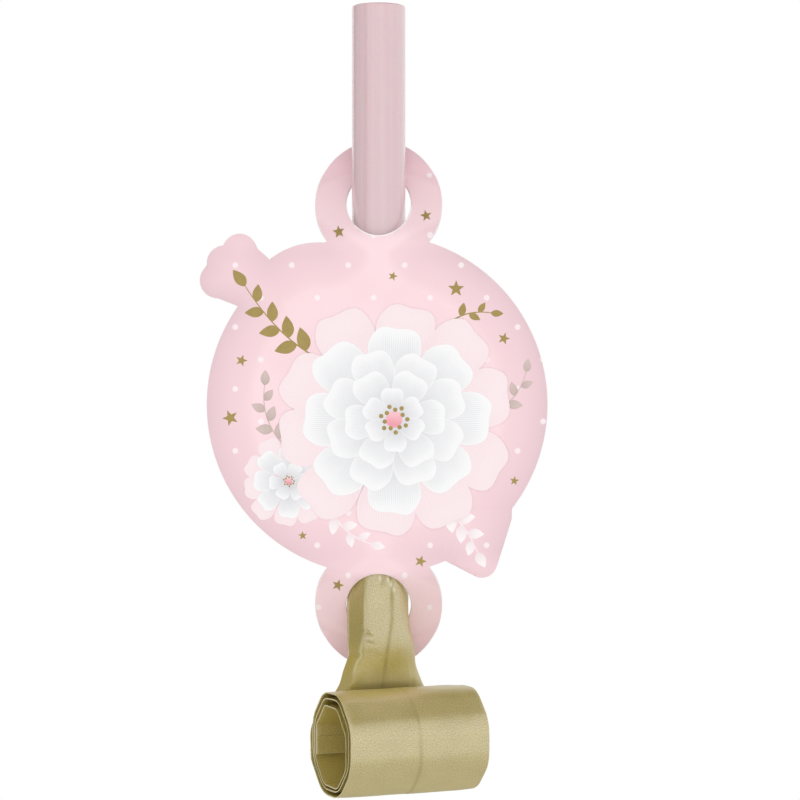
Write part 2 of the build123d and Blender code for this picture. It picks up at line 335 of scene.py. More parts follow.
def gold_paper():
    """Satin gold paper: a white sheen that sparkles in fine grains over a flat gold, with painted shade in
    its creases and a paler mix that is real wear on folded edges and painted light and highlights elsewhere.
    """
    skin = Surface("gold_paper", IOR=3.05)
    place = skin.place("UV")
    shade, wear, dull = (skin.attribute(mark) for mark in ("shade", "wear", "dull"))
    grain = skin.speckle(place, scale=140, detail=2.0, roughness=0.7)
    clouds = skin.speckle(place, scale=7)
    fibres = skin.speckle(skin.stretched(place, (1.0, 0.35, 1.0)), scale=60, detail=4.0)
    base = skin.tinted(clouds, paint(173, 152, 61), paint(181, 161, 71))
    grained = skin.dusted(base, paint(202, 186, 110), grain, low=0.42, high=0.68, most=0.36)
    # Painted shade: the shade mark darkens the gold towards brown in grooves, furrows, wrinkles, under the
    # flap and along the lap, and dulls the sheen there
    with_painted_shade = skin.mixed(shade, grained, paint(112, 96, 44))
    # Paler gold where the points are marked: real wear on the strip's folded edges, painted light and
    # painted highlights on the neck and at the strip's end
    paled = skin.dusted(with_painted_shade, paint(226, 216, 172), wear, low=0.0, high=1.0, most=0.85)
    sheen = skin.between(grain, low=0.38, high=0.62, to_low=0.24, to_high=0.86)
    unshaded = skin.between(shade, low=0.0, high=0.7, to_low=1.0, to_high=0.2)
    undulled = skin.between(dull, low=0.0, high=1.0, to_low=1.0, to_high=0.0)
    lit = skin.reckon("MULTIPLY", skin.reckon("MULTIPLY", sheen, unshaded), undulled)
    skin.feed(skin.shader.inputs["Specular IOR Level"], lit)
    roughness = skin.between(grain, low=0.36, high=0.64, to_low=0.3, to_high=0.4)
    return skin.finished(paled, roughness, skin.reckon("ADD", grain, fibres), depth=0.032)


# Helpers for shapes and meshes


def evenly(start, end, steps):
    """Values in equal steps from start to end."""
    return [start + (end - start) * k / steps for k in range(steps + 1)]


def way_along(value, start, end):
    """Share of the way from start to end, held at both."""
    return min(max((value - start) / (end - start), 0.0), 1.0)


def smooth_step(value, start, end):
    share = way_along(value, start, end)
    return share * share * (3 - 2 * share)


def hump(value, centre, spread):
    return exp(-(((value - centre) / spread) ** 2))


def step_from(start, angle, reach, offset=0.0):
    """The flat place that far from a start in one direction, and that far to the left of it."""
    x = start[0] + reach * cos(angle) - offset * sin(angle)
    return x, start[1] + reach * sin(angle) + offset * cos(angle)


def circle(centre, radius, count):
    return [step_from(centre, 2 * pi * k / count, radius) for k in range(count)]


def add_object(name, data):
    added = bpy.data.objects.new(name, data)
    bpy.context.scene.collection.objects.link(added)
    return added


def add_mesh(name, points, faces, materials, slots=None, sharp_angle=40):
    """A mesh from points in millimetres, smooth apart from edges sharper than that angle in degrees."""
    mesh = bpy.data.meshes.new(name)
    mesh.from_pydata([Vector(point) * MM for point in points], [], faces)
    for material in materials:
        mesh.materials.append(material)
    if slots:
        mesh.polygons.foreach_set("material_index", slots)
    mesh.polygons.foreach_set("use_smooth", [True] * len(mesh.polygons))
    mesh.set_sharp_from_angle(angle=radians(sharp_angle))
    return add_object(name, mesh)


def set_marks(piece, **marks):
    """Keeps named values with a mesh, one per point, for its material."""
    for name, values in marks.items():
        layer = piece.data.attributes.new(name, "FLOAT", "POINT")
        layer.data.foreach_set("value", values)


def loop_faces(rows, count):
    """Faces of a closed tube of rows of points, with a cap at each end."""
    faces = []
    for low in range(0, (rows - 1) * count, count):
        high = low + count
        for column in range(count):
            following = (column + 1) % count
            faces.append((low + column, low + following, high + following, high + column))
    faces.append(tuple(reversed(range(count))))
    faces.append(tuple(range((rows - 1) * count, rows * count)))
    return faces


def turned(face):
    """The same face, seen from its other side."""
    return face[:1] + face[:0:-1]


# Outline of the card

LOBE_RADIUS = 3.0
SHOULDER_RADIUS = 12.9
CORNER_RADIUS = 2.65
CORNER_STEPS = 8
# Places round the disc: reach past its edge, angle in degrees
SHOULDER_PLACE = (-11.2, 125.0)
LOBED_TAB = ((4.65, 127.6), (1.9, 126.6), (-8.0, 137.2), (-0.25, 144.7), (3.75, 146.5))
LOBES = ((5.7, 132.1), (6.15, 137.2), (5.2, 142.1))
CORNER_TAB = ((-0.15, -37.4), (1.0, -40.2), (6.95, -57.4), (0.0, -66.5), (-8.0, -57.4))
# Points round each circle
DISC_POINTS = 180
RING_POINTS = 96
SHOULDER_POINTS = 90
HOLE_POINTS = 72
LOBE_POINTS = 40


def tab_point(reach, angle):
    """A point that far outside the disc's edge, at that angle in degrees."""
    return step_from((DISC_SHIFT, DISC_LEVEL), radians(angle), DISC_RADIUS + reach)


def rounded_corner(before, corner, after):
    """Points of the arc that rounds off one corner of an outline."""
    here = Vector(corner)
    first = (Vector(before) - here).normalized()
    second = (Vector(after) - here).normalized()
    half = first.angle(second) / 2
    centre = here + (first + second).normalized() * CORNER_RADIUS / sin(half)
    start = here + first * CORNER_RADIUS / tan(half) - centre
    sweep = start.angle_signed(here + second * CORNER_RADIUS / tan(half) - centre)
    turn = atan2(start.y, start.x)
    return [step_from(centre, angle, CORNER_RADIUS) for angle in evenly(turn, turn - sweep, CORNER_STEPS)]


def card_outlines():
    """The shapes that make up the card: disc, rings, shoulder, lobed tab, corner tab and lobes."""
    start, side, tip, foot, root = [tab_point(*place) for place in CORNER_TAB]
    shapes = [circle((DISC_SHIFT, DISC_LEVEL), DISC_RADIUS, DISC_POINTS)]
    shapes += [circle((0.0, level), RING_RADIUS, RING_POINTS) for level in RING_LEVELS]
    shapes.append(circle(tab_point(*SHOULDER_PLACE), SHOULDER_RADIUS, SHOULDER_POINTS))
    shapes.append([tab_point(*place) for place in LOBED_TAB])
    shapes.append([start, side, *rounded_corner(side, tip, foot), foot, root])
    shapes += [circle(tab_point(*place), LOBE_RADIUS, LOBE_POINTS) for place in LOBES]
    return shapes


# Bend of the card round the tube

CARD_BEND_RADIUS = 2.0
# How much taller the card is cut per millimetre that it lies farther back, so that its rings look round
CUT_GROWTH = 0.0016
CUT_ROUNDS = 4
SLOPE_STEP = 0.05

disc_depth = -(CUFF_RADIUS + CARD_CLEARANCE + CARD_THICKNESS / 2)
top_rise = TUBE_RADIUS + CARD_CLEARANCE + CARD_THICKNESS / 2 - disc_depth
low_rise = -2 * disc_depth


def bend_lift(run, height):
    """How far the card has risen, that far along one of its two bends, which end in rounded corners."""
    span = 2 * RING_HOLE_RADIUS
    slope = atan2(height, span)
    corner = CARD_BEND_RADIUS * tan(slope / 2)
    length = span + 2 * corner

    def ease(distance):
        if distance <= 0:
            return 0.0
        straight = distance - CARD_BEND_RADIUS * sin(slope)
        if straight < 0:
            return CARD_BEND_RADIUS - sqrt(CARD_BEND_RADIUS**2 - distance**2)
        return CARD_BEND_RADIUS * (1 - cos(slope)) + straight * tan(slope)

    start = run + corner
    if start >= length:
        return height
    if start > length / 2:
        return height - ease(length - start)
    return ease(start)


def card_depth(level):
    """Y of the middle of the card at a height."""
    if level > DISC_LEVEL:
        return disc_depth + bend_lift(level - TOP_RING_LEVEL + RING_HOLE_RADIUS, top_rise)
    return disc_depth + bend_lift(LOW_RING_LEVEL - level + RING_HOLE_RADIUS, low_rise)


def cut_level(z):
    """Height at which a level of the flat design lies on the bent card."""
    level = z
    for attempt in range(CUT_ROUNDS):
        level = DISC_LEVEL + (z - DISC_LEVEL) * (1 + CUT_GROWTH * (card_depth(level) - disc_depth))
    return level


def card_slope(level, step=SLOPE_STEP):
    """How steeply the card runs back at a height, taken over a step either side of it."""
    return (card_depth(level + step) - card_depth(level - step)) / (2 * step)


def on_card(x, z, height):
    """The point that far in front of the middle of the card, square to it, at a place of the flat design."""
    level = cut_level(z)
    slope = card_slope(level)
    length = sqrt(1 + slope * slope)
    return (x, card_depth(level) - height / length, level + height * slope / length)


# Mesh of the card

CARD_EDGE_ROUNDING = 0.08
CARD_MESH_STEP = 1.1
TAB_COLUMNS = 12
MERGE_DISTANCE = 1e-5
INSIDE_SHAPES = 1
HOLE_EDGE = 0.01
BEND_FADE = 3.0
FRONT_SLOT, BACK_SLOT, EDGE_SLOT = range(3)


def grid_places(outline_points):
    """Flat places in staggered rows that keep clear of the outlines."""
    outline = kdtree.KDTree(len(outline_points))
    for number, (x, z) in enumerate(outline_points):
        outline.insert((x, z, 0.0), number)
    outline.balance()
    columns = int(2 * DISC_RADIUS / CARD_MESH_STEP) + TAB_COLUMNS
    rows = int((TOP_RING_LEVEL - LOW_RING_LEVEL + 2 * RING_RADIUS) / CARD_MESH_STEP)
    places = []
    for row in range(rows):
        for column in range(columns):
            x = DISC_SHIFT + (column - columns / 2 + row % 2 / 2) * CARD_MESH_STEP
            z = LOW_RING_LEVEL - RING_RADIUS + row * CARD_MESH_STEP
            distance = outline.find((x, z, 0.0))[-1]
            if distance > CARD_MESH_STEP / 2:
                places.append((x, z))
    return places


def card_triangles():
    """Flat points and triangles of the card, without its two round holes."""
    outlines = card_outlines()
    holes = [circle((0.0, level), RING_HOLE_RADIUS, HOLE_POINTS) for level in RING_LEVELS]
    points, shapes = [], []
    for shape in outlines + holes:
        shapes.append(list(range(len(points), len(points) + len(shape))))
        points += shape
    points += grid_places(points)
    places = [Vector(point) for point in points]
    found = delaunay_2d_cdt(places, [], shapes, INSIDE_SHAPES, MERGE_DISTANCE)
    flat_points, triangles, sources = found[0], found[2], found[5]
    hole_numbers = set(range(len(outlines), len(shapes)))
    kept = [face for face, source in zip(triangles, sources) if not hole_numbers & set(source)]
    used = sorted({index for face in kept for index in face})
    renumbered = {old: new for new, old in enumerate(used)}
    return [flat_points[old] for old in used], [tuple(renumbered[i] for i in face) for face in kept]


def rim_edges(triangles):
    """Edges that belong to one triangle only, in that triangle's direction."""
    sides = [(face[k], face[(k + 1) % 3]) for face in triangles for k in range(3)]
    counts = Counter(frozenset(side) for side in sides)
    return [side for side in sides if counts[frozenset(side)] == 1]


def distance_to_rim(point, rim, points):
    nearest = 2 * DISC_RADIUS
    for first, second in rim:
        start = points[first]
        along = points[second] - start
        share = way_along((point - start).dot(along), 0.0, along.length_squared)
        nearest = min(nearest, (point - start - along * share).length)
    return nearest


def beside_hole(point):
    return any(hypot(point.x, point.y - level) < RING_HOLE_RADIUS + HOLE_EDGE for level in RING_LEVELS)


def bend_painted_light(point):
    """Painted light: the print is made palest where the card slopes back at its bends, to lift the shade
    there.
    """
    return VIGNETTE_DEPTH * min(abs(card_slope(cut_level(point.y), BEND_FADE)), 1.0)


def set_print_places(piece, places):
    """Keeps each point's place in the flat design, in metres."""
    layer = piece.data.attributes.new("print_place", "FLOAT_VECTOR", "POINT")
    for entry, place in zip(layer.data, places):
        entry.vector = (place.x * MM, 0.0, place.y * MM)


def build_card():
    """Die-cut card: printed front, plain back and a pale rounded edge, bent at its two rings."""
    flat, triangles = card_triangles()
    rim = rim_edges(triangles)
    inward = {}
    for first, second in rim:
        along = (flat[second] - flat[first]).normalized()
        for index in (first, second):
            inward[index] = inward.get(index, Vector((0, 0))) + Vector((-along.y, along.x))
    inset = list(flat)
    for index, direction in inward.items():
        inset[index] = flat[index] + direction.normalized() * CARD_EDGE_ROUNDING
    edge = [flat[index] for index in inward]
    half = CARD_THICKNESS / 2
    wall = half - CARD_EDGE_ROUNDING
    layers = ((inset, half), (inset, -half), (edge, wall), (edge, -wall))
    points = [on_card(*place, height) for places, height in layers for place in places]

    count = len(flat)
    faces = [tuple(face) for face in triangles]
    faces += [tuple(count + index for index in reversed(face)) for face in triangles]
    slots = [FRONT_SLOT] * len(triangles) + [BACK_SLOT] * len(triangles)
    front_wall = {index: 2 * count + number for number, index in enumerate(inward)}
    back_wall = {index: number + len(edge) for index, number in front_wall.items()}
    for first, second in rim:
        levels = [
            (first, second),
            (front_wall[first], front_wall[second]),
            (back_wall[first], back_wall[second]),
            (count + first, count + second),
        ]
        for upper, lower in zip(levels, levels[1:]):
            faces.append((upper[1], upper[0], *lower))
            slots.append(EDGE_SLOT)
    back = card_board("card_back", paint(214, 211, 206), paint(232, 230, 226))
    cut = card_board("card_edge", paint(232, 218, 220), paint(244, 234, 235))
    card = add_mesh("card", points, faces, [printed_front(), back, cut], slots)

    outer_rim = [side for side in rim if not beside_hole(flat[side[0]])]
    # Distance from the outer edge, plus painted light where the card slopes back
    depths = [distance_to_rim(point, outer_rim, flat) + bend_painted_light(point) for point in flat]
    set_marks(card, edge_distance=depths * 2 + [0.0] * (2 * len(edge)))
    set_print_places(card, inset + inset + edge + edge)
    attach(card, "medallion")
    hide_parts("medallion_card")


# Print on the card, as thin films of ink

INK_THICKNESS = 0.008
INK_SINK = 0.003
# Rings of a printed shape, as shares of the way out from its centre
RINGS = (0.35, 0.65, 0.85, 0.95, 1.0)
MIDDLE_ALONG = 0.5
RIBBON_MARKS = (1.0, 0.0, 0.5)
RIBBON_SIDES = 4


class Film:
    """Gathers flat shapes into one thin closed mesh that follows the card's front."""

    def __init__(self, name, layer, material):
        self.name = name
        self.material = material
        self.low = CARD_THICKNESS / 2 + (layer - 1) * INK_THICKNESS - INK_SINK
        self.high = CARD_THICKNESS / 2 + layer * INK_THICKNESS
        self.points = []
        self.faces = []
        self.marks = []

    def add(self, centre, outline, coordinates=None):
        """One shape, as rings from its centre out to its outline. Coordinates run along and across it."""
        start = len(self.points)
        coordinates = coordinates or [(1.0, 0.0)] * len(outline)
        rings = [(share, self.high) for share in RINGS] + [(1.0, self.low)]
        for share, height in rings:
            for (x, z), (along, across) in zip(outline, coordinates):
                flat = (centre[0] + (x - centre[0]) * share, centre[1] + (z - centre[1]) * share)
                self.points.append(on_card(*flat, height))
                self.marks.append((MIDDLE_ALONG + (along - MIDDLE_ALONG) * share, across * share, share))
        for face in loop_faces(len(rings), len(outline)):
            self.faces.append(tuple(start + index for index in turned(face)))

    def add_ribbon(self, left, right):
        """A narrow band between two rows of flat places."""
        start = len(self.points)
        for near, far in zip(left, right):
            corners = ((near, self.high), (far, self.high), (far, self.low), (near, self.low))
            self.points += [on_card(*place, height) for place, height in corners]
            self.marks += [RIBBON_MARKS] * RIBBON_SIDES
        for face in loop_faces(len(left), RIBBON_SIDES):
            self.faces.append(tuple(start + index for index in face))

    def build(self):
        film = add_mesh(self.name, self.points, self.faces, [self.material])
        along, across, rim = zip(*self.marks)
        set_marks(film, along=along, across=across, rim=rim)
        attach(film, "medallion")


# Each star: X, Z, radius, tilt in degrees
STARS = (
    (-6.55, -38.33, 1.02, 10),
    (7.92, -35.66, 1.02, 11),
    (2.40, -45.55, 0.80, -17),
    (12.85, -47.61, 1.42, -1),
    (20.75, -55.85, 1.05, -17),
    (-22.62, -59.49, 1.02, -18),
    (-24.45, -68.96, 1.38, 23),
    (-12.50, -88.43, 0.76, 4),
    (22.48, -79.37, 0.80, -7),
    (6.98, -92.68, 1.03, -17),
    (-6.74, -96.47, 1.04, -18),
)
STAR_WAIST = 0.42
STAR_POINTS = 5


def build_stars(gold):
    film = Film("print_stars", 1, gold)
    for x, z, radius, tilt in STARS:
        outline = []
        for k in range(2 * STAR_POINTS):
            reach = radius * STAR_WAIST if k % 2 else radius
            outline.append(step_from((x, z), radians(90 + tilt) + pi * k / STAR_POINTS, reach))
        film.add((x, z), outline)
    film.build()


# Painted light along the upper hole, standing in for the card's cut edge where it is lit: from and to in
# degrees, inner and outer reach from the hole's edge
PAINTED_RIM_SPAN = (-136, -8)
PAINTED_RIM_REACH = (0.09, 0.27)
PAINTED_RIM_STEPS = 48


def build_painted_hole_light():
    """Painted light: a white line along the lower edge of the upper hole, standing in for the card's lit cut
    edge.
    """
    film = Film("painted_hole_light", 1, card_board("painted_hole_light_ink", paint(246, 238, 239), paint(253, 248, 248)))
    hole = (0.0, TOP_RING_LEVEL)
    turns = [radians(turn) for turn in evenly(*PAINTED_RIM_SPAN, PAINTED_RIM_STEPS)]
    radii = [RING_HOLE_RADIUS + reach for reach in PAINTED_RIM_REACH]
    film.add_ribbon(*([step_from(hole, turn, radius) for turn in turns] for radius in radii))
    film.build()


# Petals, in shares of their length and half width
PETAL_POINTS = 36
PETAL_MIDDLE = 0.55
MIDDLE_LEAN = 0.3
TIP_FULLNESS = 0.34
NOTCH_DEPTH = 0.06
NOTCH_SPREAD = 0.3
NOTCH_START = 0.6
RIPPLE_DEPTH = 0.02
RIPPLE_COUNT = 5


def petal(film, centre, angle, foot, length, half_width, lean):
    """A round-tipped petal that starts a little way out from the middle of its bloom."""
    outline, coordinates = [], []
    for k in range(PETAL_POINTS):
        turn = 2 * pi * k / PETAL_POINTS
        along = (1 - cos(turn)) / 2
        across = sin(turn) * (1 - TIP_FULLNESS + TIP_FULLNESS * (2 * along - 1))
        dip = NOTCH_DEPTH * hump(across, 0.0, NOTCH_SPREAD) * smooth_step(along, NOTCH_START, 1.0)
        wave = RIPPLE_DEPTH * sin(RIPPLE_COUNT * turn) * along
        offset = half_width * across + lean * length * along**2
        outline.append(step_from(centre, angle, foot + length * (along - dip + wave), offset))
        coordinates.append((along, across))
    middle = step_from(centre, angle, foot + PETAL_MIDDLE * length, MIDDLE_LEAN * lean * length)
    film.add(middle, outline, coordinates)


# Each ring of petals, from the back: count, foot, length, half width, turn in degrees
SHEER_RING = (10, 6.0, 12.6, 6.2, 12)
PETAL_RINGS = (
    (8, 3.4, 11.4, 5.6, 0),
    (8, 2.2, 9.0, 4.4, 22),
    (6, 1.2, 6.9, 3.7, 5),
    (6, 0.6, 4.4, 2.4, 33),
)
# How far petals of one ring differ, and by how much of a wave from one to the next
LENGTH_VARIETY = 0.05
LENGTH_WAVE = 2.4
LEAN_VARIETY = 0.05
LEAN_WAVE = 1.7
HEART_RADIUS = 1.3
HEART_POINTS = 28
STAMEN_COUNT = 13
STAMEN_RADIUS = 0.34
STAMEN_POINTS = 14
STAMEN_REACH = 1.75
STAMEN_STAGGER = 0.16
# Blooms: place, scale
SMALL_BLOOM = ((-14.8, -79.4), 0.42)
LARGE_BLOOM = ((2.6, -69.2), 1.08)
FIRST_BLOOM_LAYER = 3


def build_bloom(name, centre, scale, rings, layer, inks):
    """A round bloom of white petals with a gold heart, over sheer ones. Gives the next free layer."""
    gold, sheer, white, blush = inks
    for number, (count, foot, length, half_width, turn) in enumerate(rings):
        for half in (0, 1):
            film = Film(f"print_{name}_petals_{number}_{half + 1}", layer, white if number else sheer)
            for k in range(half, count, 2):
                angle = radians(turn) + 2 * pi * k / count
                stretch = scale * (1 + LENGTH_VARIETY * sin(LENGTH_WAVE * k + number))
                lean = LEAN_VARIETY * cos(LEAN_WAVE * k + number)
                petal(film, centre, angle, foot * scale, length * stretch, half_width * scale, lean)
            film.build()
            layer += 1
    heart = Film(f"print_{name}_heart", layer, blush)
    shine = [((1 + sin(2 * pi * k / HEART_POINTS)) / 2, 0.0) for k in range(HEART_POINTS)]
    heart.add(centre, circle(centre, HEART_RADIUS * scale, HEART_POINTS), shine)
    heart.build()
    stamens = Film(f"print_{name}_stamens", layer + 1, gold)
    for k in range(STAMEN_COUNT):
        reach = scale * STAMEN_REACH * (1 + STAMEN_STAGGER * (-1) ** k)
        place = step_from(centre, 2 * pi * k / STAMEN_COUNT, reach)
        stamens.add(place, circle(place, STAMEN_RADIUS * scale, STAMEN_POINTS))
    stamens.build()
    return layer + 2


def build_blooms(gold):
    """A large bloom in the middle of the card and a small one at its lower left."""
    sheer = petal_ink("petal_sheer", paint(248, 230, 233), paint(243, 217, 222), paint(251, 240, 241))
    white = petal_ink("petal_white", paint(247, 247, 247), paint(212, 212, 216), paint(224, 225, 229))
    blush = petal_ink("petal_blush", paint(248, 194, 202), paint(238, 150, 164), paint(244, 176, 186))
    inks = (gold, sheer, white, blush)
    layer = build_bloom("small", *SMALL_BLOOM, (SHEER_RING, *PETAL_RINGS[::2]), FIRST_BLOOM_LAYER, inks)
    build_bloom("large", *LARGE_BLOOM, (SHEER_RING, *PETAL_RINGS), layer, inks)


# Leaves, in shares of their length
LEAF_POINTS = 14
LEAF_BEND = 0.08
LEAF_SKEW = 0.8
LEAF_FULLNESS = 0.9
# Leaves along a stem: where they start and end, their angle, how they shrink, and the one at the tip
LEAF_SPAN = (0.12, 0.95)
LEAF_ANGLE = radians(48)
LEAF_SHRINKAGE = 0.35
TIP_SHARE = 0.99
TIP_SIZE = 0.8
STEM_RADIUS = 0.13
STEM_TAPER = 0.5
STEM_STEPS = 16
HEADING_STEP = 0.01
# Sprigs of each ink: start, control and end of the stem, leaves, their length and half width
SPRIGS = {
    "gold": (
        ((-10.5, -58.8), (-16.8, -55.4), (-22.0, -47.2), 7, 4.2, 1.15),
        ((11.5, -53.4), (14.5, -51.0), (18.6, -51.6), 4, 2.6, 0.7),
    ),
    "beige": (
        ((-15.5, -73.5), (-19.6, -69.5), (-18.8, -63.6), 5, 3.2, 0.95),
        ((20.6, -67.0), (23.4, -65.4), (24.4, -61.4), 3, 2.8, 0.8),
    ),
    "pale": (
        ((11.0, -84.0), (14.6, -86.6), (16.4, -91.2), 5, 3.5, 1.1),
        ((-7.6, -84.6), (-5.6, -88.4), (-1.2, -89.8), 4, 3.0, 0.9),
    ),
}


def leaf(film, foot, angle, length, half_width):
    """A pointed leaf, a little bent, from its foot."""
    outline, coordinates = [], []
    sides = [(k / LEAF_POINTS, -1) for k in range(LEAF_POINTS)]
    sides += [(1 - k / LEAF_POINTS, 1) for k in range(LEAF_POINTS)]
    for along, side in sides:
        swell = sin(pi * along**LEAF_SKEW) ** LEAF_FULLNESS
        offset = side * half_width * swell + LEAF_BEND * length * along**2
        outline.append(step_from(foot, angle, along * length, offset))
        coordinates.append((along, side * sin(pi * along)))
    film.add(step_from(foot, angle, length / 2, LEAF_BEND * length / 4), outline, coordinates)


def sprig(stems, film, start, control, end, leaves, length, half_width):
    """A curved stem with leaves in turn on either side and one at its tip."""

    def place(share):
        near, middle, far = (1 - share) ** 2, 2 * share * (1 - share), share**2
        return [near * a + middle * b + far * c for a, b, c in zip(start, control, end)]

    def heading(share):
        (x0, z0), (x1, z1) = place(share - HEADING_STEP), place(share + HEADING_STEP)
        return atan2(z1 - z0, x1 - x0)

    left, right = [], []
    for share in evenly(0.0, 1.0, STEM_STEPS):
        width = STEM_RADIUS * (1 - STEM_TAPER * share)
        left.append(step_from(place(share), heading(share), 0.0, width))
        right.append(step_from(place(share), heading(share), 0.0, -width))
    stems.add_ribbon(left, right)
    for k, share in enumerate(evenly(*LEAF_SPAN, leaves)[:-1]):
        angle = heading(share) + (LEAF_ANGLE if k % 2 else -LEAF_ANGLE)
        size = 1 - LEAF_SHRINKAGE * share
        leaf(film, place(share), angle, length * size, half_width * size)
    leaf(film, end, heading(TIP_SHARE), length * TIP_SIZE, half_width * TIP_SIZE)


def build_sprigs(gold):
    """Leafy sprigs that reach from the bloom into the two tabs and to the sides."""
    inks = {
        "gold": gold,
        "beige": petal_ink("leaf_beige", paint(210, 190, 184), paint(194, 172, 165), paint(222, 206, 201)),
        "pale": petal_ink("leaf_pale", paint(252, 244, 245), paint(240, 222, 226), paint(255, 250, 250)),
    }
    for name, routes in SPRIGS.items():
        stems = Film(f"print_{name}_stems", 1, inks[name])
        leaves = Film(f"print_{name}_leaves", 2, inks[name])
        for route in routes:
            sprig(stems, leaves, *route)
        stems.build()
        leaves.build()


# Creases of the gold paper: the coil in the strip's own plane, forward and up

COIL_LEVEL = -121.8
COIL_INRADIUS = 8.55
LAYER_PITCH = 0.9
CREASES_PER_TURN = 8
LINK_COUNT = 24
FIRST_CREASE_ROUNDING = 1.2
OUTER_CREASE_ROUNDING = 5.6
INNER_CREASE_ROUNDING = 1.2

crease_angle = 2 * pi / CREASES_PER_TURN
coil_advance = STRIP_THICKNESS / 2 + COIL_INRADIUS


def face_distance(number):
    """From the coil's axis to the inner face of a length."""
    return COIL_INRADIUS - LAYER_PITCH * number / CREASES_PER_TURN


def crease_place(number):
    """How far in front of the neck and how high a crease lies."""
    before = face_distance(number - 1)
    along = (face_distance(number) - before * cos(crease_angle)) / sin(crease_angle)
    turn = crease_angle * (number - 1)
    advance = coil_advance - before * cos(turn) + along * sin(turn)
    level = COIL_LEVEL - before * sin(turn) - along * cos(turn)
    return Vector((advance, level))


def crease_rounding(number):
    """Radius of a crease on its inner face: soft outside the coil, tighter inside it."""
    if number == 1:
        return FIRST_CREASE_ROUNDING
    share = (number - 1) / (LINK_COUNT - 1)
    return OUTER_CREASE_ROUNDING + (INNER_CREASE_ROUNDING - OUTER_CREASE_ROUNDING) * share


def crease_reach(number):
    """How far a rounded crease reaches either side of its line."""
    return crease_rounding(number) * tan(crease_angle / 2)


creases = [crease_place(number) for number in range(1, LINK_COUNT + 2)]
neck_end = creases[0].y + 2 * crease_reach(1)


# Marks and meshes of the gold paper


def ripple(across, along, pattern):
    """Noise from -1 to 1 on flat paper. A pattern is its rate across, its rate along and its layer."""
    return noise.noise(Vector((across * pattern[0], along * pattern[1], pattern[2])))


def add_gold(name, points, faces, paper, places, sharp_angle=40, **marks):
    """A piece of gold paper, with a flat place in millimetres and its marks for each point."""
    piece = add_mesh(name, points, faces, [paper], sharp_angle=sharp_angle)
    layer = piece.data.uv_layers.new(name="flat")
    for loop in piece.data.loops:
        u, v = places[loop.vertex_index]
        layer.data[loop.index].uv = (u / STRIP_WIDTH, v / STRIP_WIDTH)
    set_marks(piece, **marks)
    return piece


# Shape of the neck

NECK_COLUMNS = 240
NECK_ROWS = 150
# Half widths of the neck along the strip, from the cuff to the first crease: level, half width
NECK_LEFT = (
    (-95.5, 4.98), (-97.5, 5.2), (-100.0, 5.3), (-105.4, 5.33), (-107.3, 5.4), (-108.4, 5.3),
    (-109.5, 5.7), (-111.0, 6.34), (-113.9, 7.45), (-119.5, 11.9), (-124.2, 12.3),
)
NECK_RIGHT = (
    (-95.5, 4.98), (-101.5, 5.0), (-104.0, 5.28), (-105.9, 5.8), (-107.6, 6.2), (-109.3, 6.32),
    (-111.0, 6.62), (-113.9, 7.95), (-119.5, 11.9), (-124.2, 12.3),
)
# How far its front stands before the strip's plane: level, depth
NECK_DEPTH = (
    (-105.5, 4.98), (-107.5, 4.78), (-112.8, 3.4), (-114.5, 2.2), (-116.0, 1.0), (-117.8, 0.2),
    (-124.2, 0.2),
)
# How far its back stands behind that plane: level, depth
NECK_BACK = (
    (-95.5, 4.98), (-97.5, 5.14), (-103.5, 5.2), (-105.5, 4.9), (-106.5, 4.3), (-109.0, 2.5),
    (-111.5, 0.8), (-113.0, 0.3), (-115.0, 0.2), (-124.2, 0.2),
)
NECK_SQUARENESS = 4.0
# Levels between which the back of the right side comes out to its full width
BACK_TUCK_LEVELS = (-110.0, -107.5)
BORE_CLEARANCE = 0.03
TUBE_END_CLEARANCE = 0.1
# Crinkles all round: height, rate round the tube, rate down it, layer. They fade where the neck is that flat
NECK_CRINKLES = ((0.05, 4, 0.35, 0), (0.03, 9, 0.8, 40))
CRINKLE_DEPTHS = (0.3, 2.0)


def along_curve(knots, place):
    """Value of a smooth curve through knots, each a place and its value, in falling order of place."""
    if place >= knots[0][0]:
        return knots[0][1]
    for number in range(len(knots) - 1):
        if place >= knots[number + 1][0]:
            break
    else:
        return knots[-1][1]
    (near, first), (far, second) = knots[number], knots[number + 1]
    before = knots[max(number - 1, 0)]
    after = knots[min(number + 2, len(knots) - 1)]
    span = far - near
    slope_in = (second - before[1]) / (far - before[0]) * span
    slope_out = (after[1] - first) / (after[0] - near) * span
    t = (place - near) / span
    value = first * (2 * t**3 - 3 * t**2 + 1) + slope_in * (t**3 - 2 * t**2 + t)
    return value + second * (3 * t**2 - 2 * t**3) + slope_out * (t**3 - t**2)


def neck_size(level):
    """Roundness of the neck's section, half widths left and right, half thicknesses front and back."""
    roundness = 2 + NECK_SQUARENESS * way_along(level, TUBE_END, neck_end) ** 2
    curves = (NECK_LEFT, NECK_RIGHT, NECK_DEPTH, NECK_BACK)
    return roundness, *(along_curve(knots, level) for knots in curves)


def neck_front(side, level):
    """How far the plain paper stands in front of the strip's plane, that far along it."""
    roundness, left, right, front, back = neck_size(level)
    inside = 1 - min(abs(side) / (right if side > 0 else left), 1.0) ** roundness
    return front * inside ** (1 / roundness)


# Pleat on the left of the neck, which runs to the left below the tube
PLEAT_X = -2.55
PLEAT_LEVEL = -105.2
PLEAT_SLANT = 0.27
PLEAT_EASE = 1.8
PLEAT_FADE = (0.4, 0.65)
RIDGE_ROUNDS = 6
LIP_HEIGHT = 0.3
LIP_START = 0.2
LIP_START_LEVEL = -103.8
# Painted highlight along the pleat's fold: how bright, its place and spread, the levels where it starts and
# ends
FOLD_HIGHLIGHT = 0.75
FOLD_LINE = (-0.02, 0.11)
FOLD_START = (-104.7, -105.4)
FOLD_END = (-110.5, -112.5)


